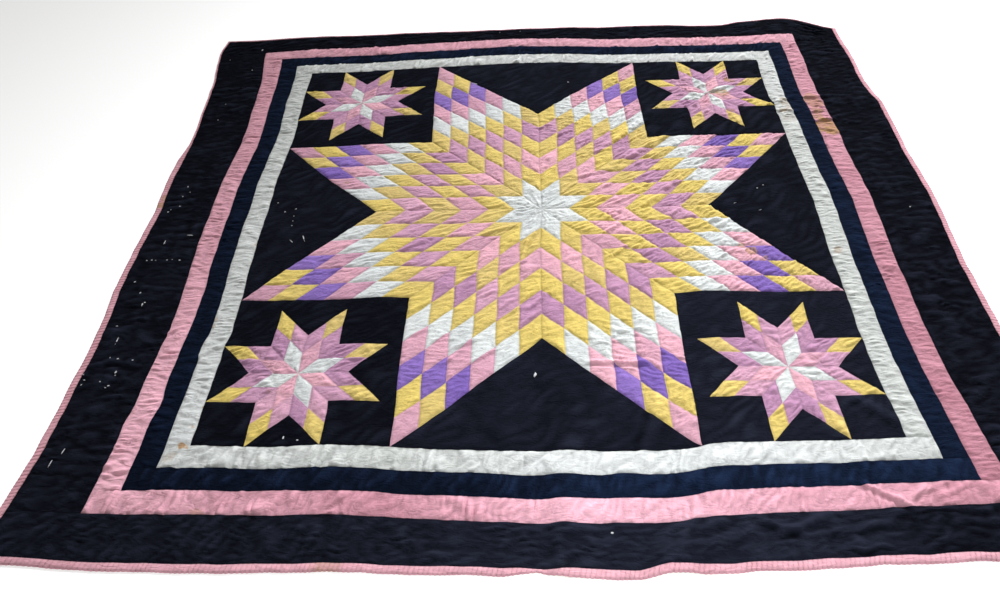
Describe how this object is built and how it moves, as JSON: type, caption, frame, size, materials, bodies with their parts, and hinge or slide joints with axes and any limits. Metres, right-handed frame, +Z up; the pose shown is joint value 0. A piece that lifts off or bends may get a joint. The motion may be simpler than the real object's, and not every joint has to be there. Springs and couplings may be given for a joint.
{
  "type": "star quilt blanket",
  "caption": "Square pieced quilt lying flat, with a large eight-pointed star, small corner stars, striped borders and a narrow binding.",
  "frame": {"origin": "middle of the quilt's outline, on the floor under it", "axes": "+X to the right along the lower edge, +Y up the quilt to the top edge, +Z up from the floor"},
  "size_m": [2.084, 1.9653, 0.0181],
  "materials": {
    "star": "printed-free plain cotton patches in white, yellow, pink, mauve and purple, soft and matte",
    "black": "plain black cotton, matte, faintly worn",
    "white": "plain white cotton, matte, a few tan stains",
    "navy": "plain navy cotton, matte",
    "pink": "plain pink cotton, matte, a few tan stains",
    "binding": "pink ticked cotton binding, matte"
  },
  "bodies": {
    "root": {"star_point_1": "star", "star_point_2": "star", "star_point_3": "star", "star_point_4": "star", "star_point_5": "star", "star_point_6": "star", "star_point_7": "star", "star_point_8": "star", "setting_triangle_1": "black", "setting_triangle_2": "black", "setting_triangle_3": "black", "setting_triangle_4": "black", "corner_block_1": "black", "corner_block_2": "black", "corner_block_3": "black", "corner_block_4": "black", "white_strip_left": "white", "white_strip_right": "white", "white_strip_top": "white", "white_strip_bottom": "white", "navy_strip_left": "navy", "navy_strip_right": "navy", "navy_strip_top": "navy", "navy_strip_bottom": "navy", "pink_strip_left": "pink", "pink_strip_right": "pink", "pink_strip_top": "pink", "pink_strip_bottom": "pink", "black_strip_left": "black", "black_strip_right": "black", "black_strip_top": "black", "black_strip_bottom": "black", "binding_left": "binding", "binding_right": "binding", "binding_top": "binding", "binding_bottom": "binding"}
  },
  "joints": []
}
